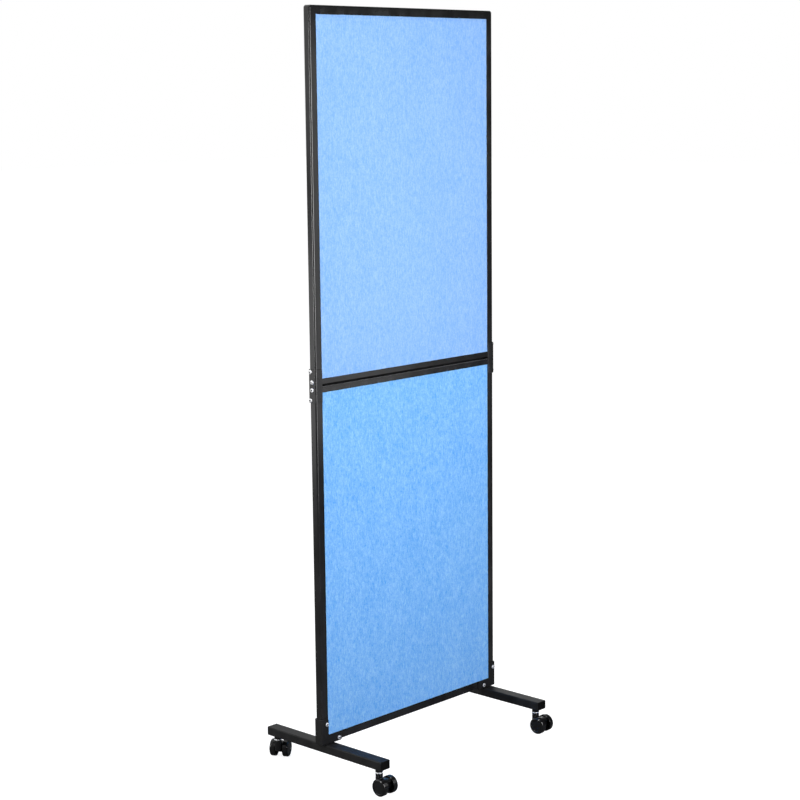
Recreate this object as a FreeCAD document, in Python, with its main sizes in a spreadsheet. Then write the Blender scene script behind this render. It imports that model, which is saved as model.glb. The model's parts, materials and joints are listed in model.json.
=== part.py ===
import FreeCAD, Part
import os
from types import SimpleNamespace
import Sketcher

# Rolling acoustic partition: two framed felt panels, one above the other, on two foot tubes
# with four twin-wheel swivel casters. Millimetres and degrees; the origin is on the floor under
# the middle of the frame, +X runs along the width, -Y is the front, +Z is up.

drivingSizes = (
    ("frameWidth", "610", "frame over the stiles"),
    ("frameHeight", "1676", "both sections together"),
    ("frameDepth", "20", "profile depth, front to back"),
    ("profileFace", "20", "visible face of stiles, top and bottom rail"),
    ("crossFace", "14.5", "visible face of the two cross rails"),
    ("midGap", "3", "gap between the cross rails"),
    ("channelWall", "1.2", "sheet of the frame channels"),
    ("channelRadius", "3", "rounded long edges of the channels"),
    ("cornerRadius", "6", "rounded outer corner of the frame"),
    ("elbowLeg", "34", "visible leg of a corner elbow"),
    ("spigotLength", "30", "reach of a spigot into its channel"),
    ("spigotThickness", "9.6", "spigots and end plugs, across the channel"),
    ("fitClearance", "0.1", "spigots and plugs in their channels, each side"),
    ("feltClearance", "0.3", "felt in its channels, each side"),
    ("sleeveHeight", "76", "joint sleeve at the middle of the frame"),
    ("sleeveSheet", "2", "sheet of the joint sleeve"),
    ("sleeveLip", "1", "stile left bare beside the sleeve flange"),
    ("sleeveRadius", "3", "bend of the joint sleeve"),
    ("sleeveScrewEdge", "5.6", "stile screws from the sleeve's ends"),
    ("sleeveScrewOffset", "5", "stile screws off the centre line"),
    ("plugScrewRise", "1.5", "plug screws off the middle of the plug"),
    ("bracketSheet", "2", "sheet of the corner bracket"),
    ("bracketUp", "60", "bracket arm up the stile"),
    ("bracketAlong", "62", "bracket arm along the bottom rail"),
    ("bracketBend", "2.5", "bends of the corner bracket"),
    ("bracketEnd", "6", "rounded ends of the bracket arms"),
    ("stileScrewHeight", "46.6", "bracket screws in the stile, from the frame's underside"),
    ("railScrewHeight", "6.4", "bracket screws in the rail, from the frame's underside"),
    ("stileScrewFar", "14.2", "stile screw on one face, from the frame's side"),
    ("stileScrewNear", "5.2", "stile screw on the other face, from the frame's side"),
    ("railScrewFar", "52.7", "rail screw on one face, from the frame's side"),
    ("railScrewNear", "40.5", "rail screw on the other face, from the frame's side"),
    ("screwHead", "9.5", "pan head diameter"),
    ("screwHeadHeight", "2.8", "pan head height"),
    ("screwCrown", "2.24", "rounded edge of the pan head"),
    ("screwShank", "4.2", "shank diameter"),
    ("screwLength", "11", "shank under the head"),
    ("screwTip", "2", "pointed end of the shank"),
    ("crossLength", "5.2", "cross recess, tip to tip"),
    ("crossWidth", "1.1", "cross recess, slot width"),
    ("crossDepth", "1.5", "cross recess, depth"),
    ("holeClearance", "0.1", "screw holes around the shank"),
    ("footWidth", "31", "foot tube across"),
    ("footHeight", "21", "foot tube height"),
    ("footLength", "372", "foot tube, front to back"),
    ("footWall", "1.5", "foot tube wall"),
    ("footRadius", "2.5", "foot tube corners"),
    ("footInset", "25", "foot tube middle from the frame's side"),
    ("footPlugDepth", "9", "end plug in the foot tube"),
    ("footPlugRecess", "1.5", "end plug below the tube's end"),
    ("footPlugWall", "1.5", "end plug wall and face"),
    ("stemInset", "19", "caster stem from the foot tube's end"),
    ("casterHeight", "57.5", "floor to the underside of the foot tube"),
    ("bossDiameter", "17.5", "threaded bush below the tube"),
    ("bossHeight", "8.4", "threaded bush below the tube"),
    ("bushShank", "13", "threaded bush inside the tube"),
    ("threadDiameter", "10", "caster stem thread"),
    ("collarDiameter", "17.5", "zinc collar of the stem"),
    ("collarHeight", "2.6", "zinc collar of the stem"),
    ("pinDiameter", "8", "swivel pin under the collar"),
    ("pinLength", "22", "swivel pin under the collar"),
    ("runningClearance", "0.05", "swivel pin and axle in their bores, radial"),
    ("endClearance", "0.4", "faces that turn past each other"),
    ("neckDiameter", "17.2", "caster neck around the swivel pin"),
    ("neckFloor", "5", "neck material under the swivel pin"),
    ("neckEdge", "1", "rounded top of the neck"),
    ("trail", "18.5", "axle behind the swivel axis"),
    ("wheelDiameter", "41", "caster wheel"),
    ("wheelWidth", "13.8", "caster wheel"),
    ("wheelGap", "18", "between the two wheels of a caster"),
    ("wheelRim", "3.4", "tread ring around the hollow of the wheel"),
    ("wheelFace", "2.6", "closed outer face of the wheel"),
    ("wheelShoulder", "3.8", "rounded outer edge of the tread"),
    ("wheelEdge", "1.2", "rounded inner edge of the tread"),
    ("wheelDish", "14", "radius of the dished outer face"),
    ("wheelDishDepth", "1", "depth of the dished outer face"),
    ("wheelHub", "5.5", "hub radius around the axle"),
    ("wheelRibs", "8", "ribs in the hollow of the wheel"),
    ("wheelRibSheet", "1.4", "thickness of a wheel rib"),
    ("wheelRibDepth", "6", "wheel rib, from the closed face"),
    ("axleDiameter", "6", "caster axle"),
    ("hoodCrown", "17.5", "hood radius over the axle"),
    ("hoodHub", "10.5", "hood radius around the axle, below"),
    ("hoodBrow", "11.5", "hood crown ends this far over the axle, away from the stem"),
    ("hoodSkirt", "4", "hood crown ends this far under the axle, below the stem"),
    ("hoodEdge", "1.5", "rounded edges of the hood"),
    ("leftFrontYaw", "-1", "swivel angle as photographed"),
    ("rightFrontYaw", "3", "swivel angle as photographed"),
    ("leftRearYaw", "119", "swivel angle as photographed"),
    ("rightRearYaw", "180", "swivel angle, hidden in the view"),
)

doc = FreeCAD.newDocument("RollingAcousticPartition")
sheet = doc.addObject("Spreadsheet::Sheet", "sizes")
for row, (alias, value, note) in enumerate(drivingSizes, 1):
    sheet.set("A%d" % row, alias)
    sheet.set("B%d" % row, value)
    sheet.setAlias("B%d" % row, alias)
    sheet.set("C%d" % row, note)
doc.recompute()


# A size knows its number and the sheet expression behind it, so that sums of sizes
# place the geometry and bind it to the sheet at once.
class Size:
    def __init__(self, text, number):
        self.text = text
        self.number = number

    def __float__(self):
        return self.number

    def __neg__(self):
        return Size("(-%s)" % self.text, -self.number)

    def __add__(self, other):
        other = asSize(other)
        return Size("(%s + %s)" % (self.text, other.text), self.number + other.number)

    def __sub__(self, other):
        other = asSize(other)
        return Size("(%s - %s)" % (self.text, other.text), self.number - other.number)

    def __mul__(self, other):
        other = asSize(other)
        return Size("(%s * %s)" % (self.text, other.text), self.number * other.number)

    def __truediv__(self, other):
        other = asSize(other)
        return Size("(%s / %s)" % (self.text, other.text), self.number / other.number)

    def __radd__(self, other):
        return asSize(other) + self

    def __rsub__(self, other):
        return asSize(other) - self

    def __rmul__(self, other):
        return asSize(other) * self


def asSize(value):
    return value if isinstance(value, Size) else Size(repr(value), float(value))


s = SimpleNamespace(**{alias: Size("sizes." + alias, float(sheet.get(alias)))
                       for alias, value, note in drivingSizes})

# Places shared by the pieces
halfWidth = s.frameWidth / 2
halfDepth = s.frameDepth / 2
sectionHeight = s.frameHeight / 2
footTop = s.casterHeight + s.footHeight
frameBottom = footTop + s.bracketSheet
midHeight = frameBottom + sectionHeight
channelInside = halfDepth - s.channelWall
channelInnerRadius = s.channelRadius - s.channelWall
seatDepth = s.channelWall + s.spigotThickness
plugScrew = s.midGap / 2 + s.channelWall + s.spigotThickness / 2 + s.plugScrewRise
footCentre = halfWidth - s.footInset
stemReach = s.footLength / 2 - s.stemInset
holeRadius = s.screwShank / 2 + s.holeClearance
wheelRadius = s.wheelDiameter / 2
hoodHalfWidth = s.wheelGap / 2 - s.endClearance
collarBottom = s.casterHeight - s.bossHeight - s.collarHeight
neckTop = collarBottom - s.endClearance
pinBottom = collarBottom - s.pinLength

# Cuts that leave a piece open run on past its edge by this much
overshoot = 1

pieces = []


def newBody(label):
    body = doc.addObject("PartDesign::Body", label)
    body.Label = label
    pieces.append(body)
    return body


def bind(item, path, size):
    item.setExpression(path, asSize(size).text)


def sketchOn(body, role, away=0):
    sketch = body.newObject("Sketcher::SketchObject", body.Name + "Sketch")
    plane = [feature for feature in body.Origin.OriginFeatures if feature.Role == role][0]
    sketch.AttachmentSupport = [(plane, "")]
    sketch.MapMode = "FlatFace"
    # the XZ plane faces -Y, so a place along +Y is a negative offset from it
    bind(sketch, "AttachmentOffset.Base.z", -asSize(away) if role == "XZ_Plane" else away)
    return sketch


def pin(sketch, geometry, point, place):
    for kind, axis, size in (("DistanceX", -2, place[0]), ("DistanceY", -1, place[1])):
        if isinstance(size, Size):
            index = sketch.addConstraint(Sketcher.Constraint(kind, -1, 1, geometry, point, float(size)))
            bind(sketch, "Constraints[%d]" % index, size)
        else:
            sketch.addConstraint(Sketcher.Constraint("PointOnObject", geometry, point, axis))


def outline(sketch, points):
    first = sketch.GeometryCount
    spots = [FreeCAD.Vector(float(u), float(v), 0) for u, v in points]
    for i, spot in enumerate(spots):
        sketch.addGeometry(Part.LineSegment(spot, spots[(i + 1) % len(spots)]), False)
    for i in range(len(spots)):
        following = first + (i + 1) % len(spots)
        sketch.addConstraint(Sketcher.Constraint("Coincident", first + i, 2, following, 1))
        pin(sketch, first + i, 1, points[i])


def rectangle(sketch, u0, u1, v0, v1):
    outline(sketch, [(u0, v0), (u1, v0), (u1, v1), (u0, v1)])


def circle(sketch, centre, radius):
    spot = FreeCAD.Vector(float(centre[0]), float(centre[1]), 0)
    item = sketch.addGeometry(Part.Circle(spot, FreeCAD.Vector(0, 0, 1), float(radius)), False)
    pin(sketch, item, 3, centre)
    index = sketch.addConstraint(Sketcher.Constraint("Radius", item, float(radius)))
    bind(sketch, "Constraints[%d]" % index, radius)


def pad(body, sketch, length, reverse=False, symmetric=False):
    feature = body.newObject("PartDesign::Pad", body.Name + "Pad")
    feature.Profile = sketch
    feature.SideType = "Symmetric" if symmetric else "One side"
    feature.Reversed = reverse
    bind(feature, "Length", length)
    return feature


def pocket(body, sketch, length=None, reverse=False, symmetric=False):
    doc.recompute()
    before = body.Shape.Volume
    feature = body.newObject("PartDesign::Pocket", body.Name + "Pocket")
    feature.Profile = sketch
    feature.SideType = "Symmetric" if symmetric else "One side"
    feature.Reversed = reverse
    if length is None:
        feature.Type = "ThroughAll"
    else:
        bind(feature, "Length", length)
    doc.recompute()
    if body.Shape.Volume > before - 1e-6:
        raise RuntimeError("%s: a cut removes nothing" % body.Label)
    return feature


def revolve(body, sketch, axis):
    feature = body.newObject("PartDesign::Revolution", body.Name + "Revolution")
    feature.Profile = sketch
    feature.ReferenceAxis = (sketch, [axis])
    feature.Angle = 360
    return feature


def polarPattern(body, original, sketch, axis):
    feature = body.newObject("PartDesign::PolarPattern", body.Name + "Pattern")
    feature.Originals = [original]
    feature.Axis = (sketch, [axis])
    feature.Angle = 360
    body.Tip = feature
    return feature


def fillet(body, radius, chosen):
    doc.recompute()
    base = body.Tip
    names = ["Edge%d" % n for n, edge in enumerate(base.Shape.Edges, 1) if chosen(edge)]
    if not names:
        raise RuntimeError("%s: no edge to round" % body.Label)
    feature = body.newObject("PartDesign::Fillet", body.Name + "Fillet")
    feature.Base = (base, names)
    bind(feature, "Radius", radius)
    doc.recompute()
    return feature


# Test for edges whose every point has the given coordinates, such as {"x": 5, "y": 2}
def edgesAt(*wanted):
    def near(point, place):
        return all(abs(getattr(point, axis) - float(size)) < 1e-4 for axis, size in place.items())

    def chosen(edge):
        points = [vertex.Point for vertex in edge.Vertexes]
        points.append(edge.valueAt((edge.FirstParameter + edge.LastParameter) / 2))
        return any(all(near(point, place) for point in points) for place in wanted)
    return chosen


# Round holes through all that lies on one side of a plane through the origin
def holes(body, role, centres, towards, radius=holeRadius):
    sketch = sketchOn(body, role)
    for centre in centres:
        circle(sketch, centre, radius)
    outward = {"XY_Plane": 1, "XZ_Plane": -1, "YZ_Plane": 1}[role]
    pocket(body, sketch, reverse=towards == outward)


# Bracket screws sit further in on one face of the frame than on the other, so that the two
# brackets are one part, turned half round. side is -1 left, 1 right; face is -1 front, 1 back.
def bracketScrews(side, face):
    far = side == face
    stileIn = s.stileScrewFar if far else s.stileScrewNear
    railIn = s.railScrewFar if far else s.railScrewNear
    return ((side * (halfWidth - stileIn), s.stileScrewHeight),
            (side * (halfWidth - railIn), s.railScrewHeight))


def sleeveScrews(side, half):
    stileScrew = s.sleeveHeight / 2 - s.sleeveScrewEdge
    return ((0, half * plugScrew), (-side * s.sleeveScrewOffset, half * stileScrew))


# Frame pieces: heights run from the middle joint, half is 1 for the upper section, -1 for the lower
def stile(label, side, half):
    body = newBody(label)
    length = sectionHeight - s.elbowLeg
    outer = side * halfWidth
    web = side * (halfWidth - s.channelWall)
    lip = side * (halfWidth - s.profileFace)
    section = sketchOn(body, "XY_Plane")
    outline(section, [(outer, -halfDepth), (lip, -halfDepth), (lip, -channelInside), (web, -channelInside),
                      (web, channelInside), (lip, channelInside), (lip, halfDepth), (outer, halfDepth)])
    pad(body, section, length, reverse=half < 0)
    fillet(body, s.channelRadius, edgesAt({"x": outer, "y": halfDepth}, {"x": outer, "y": -halfDepth}))
    fillet(body, channelInnerRadius,
           edgesAt({"x": web, "y": channelInside}, {"x": web, "y": -channelInside}))
    holes(body, "YZ_Plane", sleeveScrews(side, half), side)
    if half < 0:
        for face in (-1, 1):
            x, z = bracketScrews(side, face)[0]
            holes(body, "XZ_Plane", [(x, z - sectionHeight)], face)
    bind(body, "Placement.Base.z", midHeight)


def rail(label, reach, face, webHeight, opens):
    body = newBody(label)
    web = webHeight + opens * s.channelWall
    lip = webHeight + opens * face
    section = sketchOn(body, "YZ_Plane")
    outline(section, [(-halfDepth, webHeight), (-halfDepth, lip), (-channelInside, lip),
                      (-channelInside, web), (channelInside, web), (channelInside, lip),
                      (halfDepth, lip), (halfDepth, webHeight)])
    pad(body, section, 2 * reach, symmetric=True)
    fillet(body, s.channelRadius,
           edgesAt({"z": webHeight, "y": halfDepth}, {"z": webHeight, "y": -halfDepth}))
    fillet(body, channelInnerRadius,
           edgesAt({"z": web, "y": channelInside}, {"z": web, "y": -channelInside}))
    bind(body, "Placement.Base.z", midHeight)
    return body


def elbow(label, side, half):
    body = newBody(label)
    outX, outZ = side * halfWidth, half * sectionHeight

    def inX(depth):
        return side * (halfWidth - depth)

    def inZ(depth):
        return half * (sectionHeight - depth)

    plate = sketchOn(body, "XZ_Plane")
    outline(plate, [(outX, outZ), (inX(s.elbowLeg), outZ), (inX(s.elbowLeg), inZ(s.profileFace)),
                    (inX(s.profileFace), inZ(s.profileFace)), (inX(s.profileFace), inZ(s.elbowLeg)),
                    (outX, inZ(s.elbowLeg))])
    pad(body, plate, s.frameDepth, symmetric=True)
    slot = sketchOn(body, "XZ_Plane")
    past = s.elbowLeg + overshoot
    rectangle(slot, inX(seatDepth), inX(past), inZ(seatDepth), inZ(past))
    pocket(body, slot, 2 * channelInside, symmetric=True)
    fillet(body, s.cornerRadius, edgesAt({"x": outX, "z": outZ}))
    turnX, turnZ = float(inX(s.cornerRadius)), float(inZ(s.cornerRadius))

    def outerRim(edge):
        point = edge.valueAt((edge.FirstParameter + edge.LastParameter) / 2)
        onTurn = abs((point.x - turnX) ** 2 + (point.z - turnZ) ** 2 - float(s.cornerRadius) ** 2) < 1e-3
        onSide = abs(point.x - float(outX)) < 1e-4 or abs(point.z - float(outZ)) < 1e-4
        return abs(abs(point.y) - float(halfDepth)) < 1e-4 and (onTurn or onSide)
    fillet(body, s.channelRadius, outerRim)

    wide = channelInside - s.fitClearance
    back = s.channelWall + s.fitClearance
    upright = sketchOn(body, "XY_Plane", inZ(s.elbowLeg))
    rectangle(upright, inX(back), inX(seatDepth), -wide, wide)
    pad(body, upright, s.spigotLength, reverse=half > 0)
    level = sketchOn(body, "YZ_Plane", inX(s.elbowLeg))
    rectangle(level, -wide, wide, inZ(back), inZ(seatDepth))
    pad(body, level, s.spigotLength, reverse=side > 0)
    fillet(body, channelInnerRadius + s.fitClearance,
           edgesAt({"x": inX(back), "y": wide}, {"x": inX(back), "y": -wide},
                   {"z": inZ(back), "y": wide}, {"z": inZ(back), "y": -wide}))
    if half < 0:
        for face in (-1, 1):
            reached = bracketScrews(side, face)
            if side == face:
                reached = reached[1:]
            holes(body, "XZ_Plane", [(x, z - sectionHeight) for x, z in reached], face)
    bind(body, "Placement.Base.z", midHeight)


def crossRailPlug(label, side, half):
    body = newBody(label)
    outerEnd = halfWidth - s.channelWall - s.fitClearance
    innerEnd = halfWidth - s.profileFace - s.spigotLength
    wide = channelInside - s.fitClearance
    back = half * (s.midGap / 2 + s.channelWall)
    section = sketchOn(body, "YZ_Plane", side * innerEnd)
    rectangle(section, -wide, wide, back, half * (s.midGap / 2 + seatDepth))
    pad(body, section, outerEnd - innerEnd, reverse=side < 0)
    fillet(body, channelInnerRadius + s.fitClearance,
           edgesAt({"z": back, "y": wide}, {"z": back, "y": -wide},
                   {"x": side * outerEnd, "y": wide}, {"x": side * outerEnd, "y": -wide}))
    holes(body, "YZ_Plane", [(0, half * plugScrew)], side)
    bind(body, "Placement.Base.z", midHeight)


# The felt board stands on the plugs or elbows under it and is held in the channels all round
def feltPanel(label, half):
    body = newBody(label)
    reach = halfWidth - seatDepth - s.feltClearance
    fromMiddle = s.midGap / 2 + seatDepth
    fromEnd = sectionHeight - seatDepth
    if half > 0:
        low, high = fromMiddle, fromEnd - s.feltClearance
    else:
        low, high = -fromEnd, -fromMiddle - s.feltClearance
    board = sketchOn(body, "XZ_Plane")
    rectangle(board, -reach, reach, low, high)
    pad(body, board, 2 * (channelInside - s.feltClearance), symmetric=True)
    if half < 0:
        for side in (-1, 1):
            x, z = bracketScrews(side, side)[0]
            holes(body, "XZ_Plane", [(x, z - sectionHeight)], side)
    bind(body, "Placement.Base.z", midHeight)


def jointSleeve(label, side):
    body = newBody(label)
    outer = side * (halfWidth + s.sleeveSheet)
    inner = side * halfWidth
    lip = side * (halfWidth - s.profileFace + s.sleeveLip)
    deep = halfDepth + s.sleeveSheet
    section = sketchOn(body, "XY_Plane")
    outline(section, [(outer, -deep), (lip, -deep), (lip, -halfDepth), (inner, -halfDepth),
                      (inner, halfDepth), (lip, halfDepth), (lip, deep), (outer, deep)])
    pad(body, section, s.sleeveHeight, symmetric=True)
    fillet(body, s.sleeveRadius, edgesAt({"x": outer, "y": deep}, {"x": outer, "y": -deep}))
    fillet(body, s.sleeveRadius - s.sleeveSheet,
           edgesAt({"x": inner, "y": halfDepth}, {"x": inner, "y": -halfDepth}))
    holes(body, "YZ_Plane", sleeveScrews(side, 1) + sleeveScrews(side, -1), side)
    bind(body, "Placement.Base.z", midHeight)


# Bent corner bracket: side plate, base plate and an L-shaped flange on either face
def cornerBracket(label, side):
    body = newBody(label)
    outer = side * (halfWidth + s.bracketSheet)
    armEnd = side * (halfWidth - s.bracketAlong)
    lip = side * (halfWidth - s.profileFace)
    deep = halfDepth + s.bracketSheet
    plate = sketchOn(body, "XZ_Plane")
    outline(plate, [(outer, -s.bracketSheet), (armEnd, -s.bracketSheet), (armEnd, s.profileFace),
                    (lip, s.profileFace), (lip, s.bracketUp), (outer, s.bracketUp)])
    pad(body, plate, 2 * deep, symmetric=True)
    fillet(body, s.bracketEnd,
           edgesAt({"x": armEnd, "z": -s.bracketSheet}, {"x": armEnd, "z": s.profileFace},
                   {"x": lip, "z": s.bracketUp}))
    fillet(body, s.bracketBend, edgesAt({"x": outer, "z": -s.bracketSheet}))
    fillet(body, s.bracketBend, edgesAt({"x": outer, "y": deep}, {"x": outer, "y": -deep}))
    inside = sketchOn(body, "XZ_Plane")
    pastArm = side * (halfWidth - s.bracketAlong - overshoot)
    rectangle(inside, side * halfWidth, pastArm, 0, s.bracketUp + overshoot)
    pocket(body, inside, s.frameDepth, symmetric=True)
    for face in (-1, 1):
        holes(body, "XZ_Plane", bracketScrews(side, face), face)
    bind(body, "Placement.Base.z", frameBottom)


# Feet: heights run from the underside of the foot tube, end is -1 at the front, 1 at the rear
def footTube(label, side):
    body = newBody(label)
    left, right = side * footCentre - s.footWidth / 2, side * footCentre + s.footWidth / 2
    section = sketchOn(body, "XZ_Plane")
    rectangle(section, left, right, 0, s.footHeight)
    rectangle(section, left + s.footWall, right - s.footWall, s.footWall, s.footHeight - s.footWall)
    pad(body, section, s.footLength, symmetric=True)
    fillet(body, s.footRadius,
           edgesAt(*({"x": x, "z": z} for x in (left, right) for z in (0, s.footHeight))))
    fillet(body, s.footRadius - s.footWall,
           edgesAt(*({"x": x, "z": z} for x in (left + s.footWall, right - s.footWall)
                     for z in (s.footWall, s.footHeight - s.footWall))))
    seats = sketchOn(body, "XY_Plane", s.footHeight / 2)
    for end in (-1, 1):
        circle(seats, (side * footCentre, end * stemReach), s.bushShank / 2 + s.fitClearance)
    pocket(body, seats)
    bind(body, "Placement.Base.z", s.casterHeight)


def footPlug(label, side, end):
    body = newBody(label)
    wide = s.footWidth / 2 - s.footWall - s.fitClearance
    low = s.footWall + s.fitClearance
    high = s.footHeight - low
    faceAt = end * (s.footLength / 2 - s.footPlugRecess)
    backAt = end * (s.footLength / 2 - s.footPlugRecess - s.footPlugDepth)
    left, right = side * footCentre - wide, side * footCentre + wide
    cap = sketchOn(body, "XZ_Plane", faceAt)
    rectangle(cap, left, right, low, high)
    pad(body, cap, s.footPlugDepth, reverse=end < 0)
    fillet(body, s.footRadius - s.footWall + s.fitClearance,
           edgesAt(*({"x": x, "z": z} for x in (left, right) for z in (low, high))))
    hollow = sketchOn(body, "XZ_Plane", backAt)
    rectangle(hollow, left + s.footPlugWall, right - s.footPlugWall,
              low + s.footPlugWall, high - s.footPlugWall)
    pocket(body, hollow, s.footPlugDepth - s.footPlugWall, reverse=end < 0)
    bind(body, "Placement.Base.z", s.casterHeight)


# Casters: each piece is drawn around its swivel axis, with the axle along X and the trail
# towards -Y, heights from the floor, and is then turned to its yaw under its corner of the feet
def placeCaster(body, corner):
    side, end, yaw = corner
    body.Placement.Rotation = FreeCAD.Rotation(FreeCAD.Vector(0, 0, 1), float(yaw))
    bind(body, "Placement.Base.x", side * footCentre)
    bind(body, "Placement.Base.y", end * stemReach)
    bind(body, "Placement.Rotation.Angle", yaw)


def threadedBush(label, corner):
    body = newBody(label)
    bore = s.threadDiameter / 2 + s.fitClearance
    top = footTop - s.footWall
    bottom = s.casterHeight - s.bossHeight
    profile = sketchOn(body, "XZ_Plane")
    outline(profile, [(bore, bottom), (s.bossDiameter / 2, bottom),
                      (s.bossDiameter / 2, s.casterHeight), (s.bushShank / 2, s.casterHeight),
                      (s.bushShank / 2, top), (bore, top)])
    revolve(body, profile, "V_Axis")
    placeCaster(body, corner)


def casterStem(label, corner):
    body = newBody(label)
    collarTop = collarBottom + s.collarHeight
    threadTop = footTop - 2 * s.footWall
    profile = sketchOn(body, "XZ_Plane")
    outline(profile, [(0, pinBottom), (s.pinDiameter / 2, pinBottom), (s.pinDiameter / 2, collarBottom),
                      (s.collarDiameter / 2, collarBottom), (s.collarDiameter / 2, collarTop),
                      (s.threadDiameter / 2, collarTop), (s.threadDiameter / 2, threadTop), (0, threadTop)])
    revolve(body, profile, "V_Axis")
    placeCaster(body, corner)


def casterHood(label, corner):
    body = newBody(label)
    axle = (-s.trail, wheelRadius)
    crown = sketchOn(body, "YZ_Plane")
    circle(crown, axle, s.hoodCrown)
    pad(body, crown, 2 * hoodHalfWidth, symmetric=True)
    fillet(body, s.hoodEdge, edgesAt({"x": hoodHalfWidth}, {"x": -hoodHalfWidth}))
    # the crown is cut away under its skirt on the stem's side and under its brow on the other
    mouth = sketchOn(body, "YZ_Plane")
    skirt, brow = wheelRadius - s.hoodSkirt, wheelRadius + s.hoodBrow
    past = s.hoodCrown + overshoot
    far, near, under = -s.trail - past, -s.trail + past, wheelRadius - past
    outline(mouth, [(far, under), (near, under), (near, skirt), (-s.trail, skirt),
                    (-s.trail, brow), (far, brow)])
    pocket(body, mouth, s.wheelGap, symmetric=True)
    hub = sketchOn(body, "YZ_Plane")
    circle(hub, axle, s.hoodHub)
    pad(body, hub, 2 * hoodHalfWidth, symmetric=True)
    neck = sketchOn(body, "XY_Plane", neckTop)
    circle(neck, (0, 0), s.neckDiameter / 2)
    pad(body, neck, neckTop - pinBottom + s.neckFloor, reverse=True)
    fillet(body, s.neckEdge, edgesAt({"z": neckTop}))
    swivel = sketchOn(body, "XY_Plane", neckTop)
    circle(swivel, (0, 0), s.pinDiameter / 2 + s.runningClearance)
    pocket(body, swivel, neckTop - pinBottom + s.endClearance)
    bore = sketchOn(body, "YZ_Plane")
    circle(bore, axle, s.axleDiameter / 2 + s.runningClearance)
    pocket(body, bore, s.wheelGap, symmetric=True)
    placeCaster(body, corner)


def casterAxle(label, corner):
    body = newBody(label)
    rod = sketchOn(body, "YZ_Plane")
    circle(rod, (-s.trail, wheelRadius), s.axleDiameter / 2)
    reach = s.wheelGap / 2 + s.wheelWidth - s.wheelFace - s.wheelDishDepth - s.endClearance
    pad(body, rod, 2 * reach, symmetric=True)
    placeCaster(body, corner)


def casterWheel(label, corner, outward):
    body = newBody(label)
    inner = s.wheelGap / 2
    outer = inner + s.wheelWidth
    dish = outer - s.wheelDishDepth
    closed = dish - s.wheelFace
    bore = s.axleDiameter / 2 + s.runningClearance
    hollow = wheelRadius - s.wheelRim
    profile = sketchOn(body, "XY_Plane", wheelRadius)
    bind(profile, "AttachmentOffset.Base.y", -s.trail)
    corners = [(inner, bore), (inner, s.wheelHub), (closed, s.wheelHub), (closed, hollow), (inner, hollow),
               (inner, wheelRadius), (outer, wheelRadius), (outer, s.wheelDish + s.wheelDishDepth),
               (dish, s.wheelDish), (dish, 0), (closed, 0), (closed, bore)]
    outline(profile, [(outward * along, radius) for along, radius in corners])
    revolve(body, profile, "H_Axis")
    buried = s.wheelFace / 2
    rib = sketchOn(body, "YZ_Plane", outward * (closed + buried))
    rectangle(rib, -s.trail - s.wheelRibSheet / 2, -s.trail + s.wheelRibSheet / 2,
              wheelRadius + (s.wheelHub + bore) / 2, wheelRadius + hollow + s.wheelRim / 2)
    ribPad = pad(body, rib, s.wheelRibDepth + buried, reverse=outward > 0)
    ribs = polarPattern(body, ribPad, profile, "H_Axis")
    bind(ribs, "Occurrences", s.wheelRibs)
    doc.recompute()

    def treadEdge(place):
        def chosen(edge):
            curve = edge.Curve
            return (isinstance(curve, Part.Circle) and abs(curve.Radius - float(wheelRadius)) < 1e-4
                    and abs(curve.Center.x - outward * float(place)) < 1e-4)
        return chosen
    fillet(body, s.wheelShoulder, treadEdge(outer))
    fillet(body, s.wheelEdge, treadEdge(inner))
    placeCaster(body, corner)


# One pan-head screw with a cross recess, drawn with its head up, and placed copies of it
def panHeadScrew():
    body = doc.addObject("PartDesign::Body", "panHeadScrew")
    profile = sketchOn(body, "XZ_Plane")
    outline(profile, [(0, -s.screwLength), (s.screwShank / 2, s.screwTip - s.screwLength),
                      (s.screwShank / 2, 0), (s.screwHead / 2, 0), (s.screwHead / 2, s.screwHeadHeight),
                      (0, s.screwHeadHeight)])
    revolve(body, profile, "V_Axis")
    fillet(body, s.screwCrown,
           lambda edge: isinstance(edge.Curve, Part.Circle)
           and abs(edge.Curve.Radius - float(s.screwHead) / 2) < 1e-4
           and abs(edge.Curve.Center.z - float(s.screwHeadHeight)) < 1e-4)
    for long, short in ((s.crossLength / 2, s.crossWidth / 2), (s.crossWidth / 2, s.crossLength / 2)):
        slot = sketchOn(body, "XY_Plane", s.screwHeadHeight)
        rectangle(slot, -long, long, -short, short)
        pocket(body, slot, s.crossDepth)
    return body


def screwGroup(label, screw, places):
    links = []
    for number, (spot, direction) in enumerate(places, 1):
        link = doc.addObject("App::Link", "%sScrew%d" % (label, number))
        link.LinkedObject = screw
        link.Placement.Rotation = FreeCAD.Rotation(FreeCAD.Vector(0, 0, 1), FreeCAD.Vector(*direction))
        for axis, size in zip("xyz", spot):
            bind(link, "Placement.Base." + axis, size)
        links.append(link)
    group = doc.addObject("Part::Compound", label)
    group.Label = label
    group.Links = links
    pieces.append(group)


sides = (("left", -1), ("right", 1))
halves = (("upper", 1), ("lower", -1))
ends = (("front", -1), ("rear", 1))

for half, up in halves:
    for hand, side in sides:
        stile("%s_%s_stile" % (half, hand), side, up)
        elbow("%s_%s_corner" % (half, hand), side, up)
        crossRailPlug("%s_%s_cross_rail_plug" % (half, hand), side, up)
    rail(half + "_cross_rail", halfWidth - s.profileFace, s.crossFace, up * s.midGap / 2, up)
    feltPanel(half + "_felt_panel", up)
rail("top_rail", halfWidth - s.elbowLeg, s.profileFace, sectionHeight, -1)
bottomRail = rail("bottom_rail", halfWidth - s.elbowLeg, s.profileFace, -sectionHeight, 1)
for face in (-1, 1):
    spots = [bracketScrews(side, face)[1] for hand, side in sides]
    holes(bottomRail, "XZ_Plane", [(x, z - sectionHeight) for x, z in spots], face)

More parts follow.
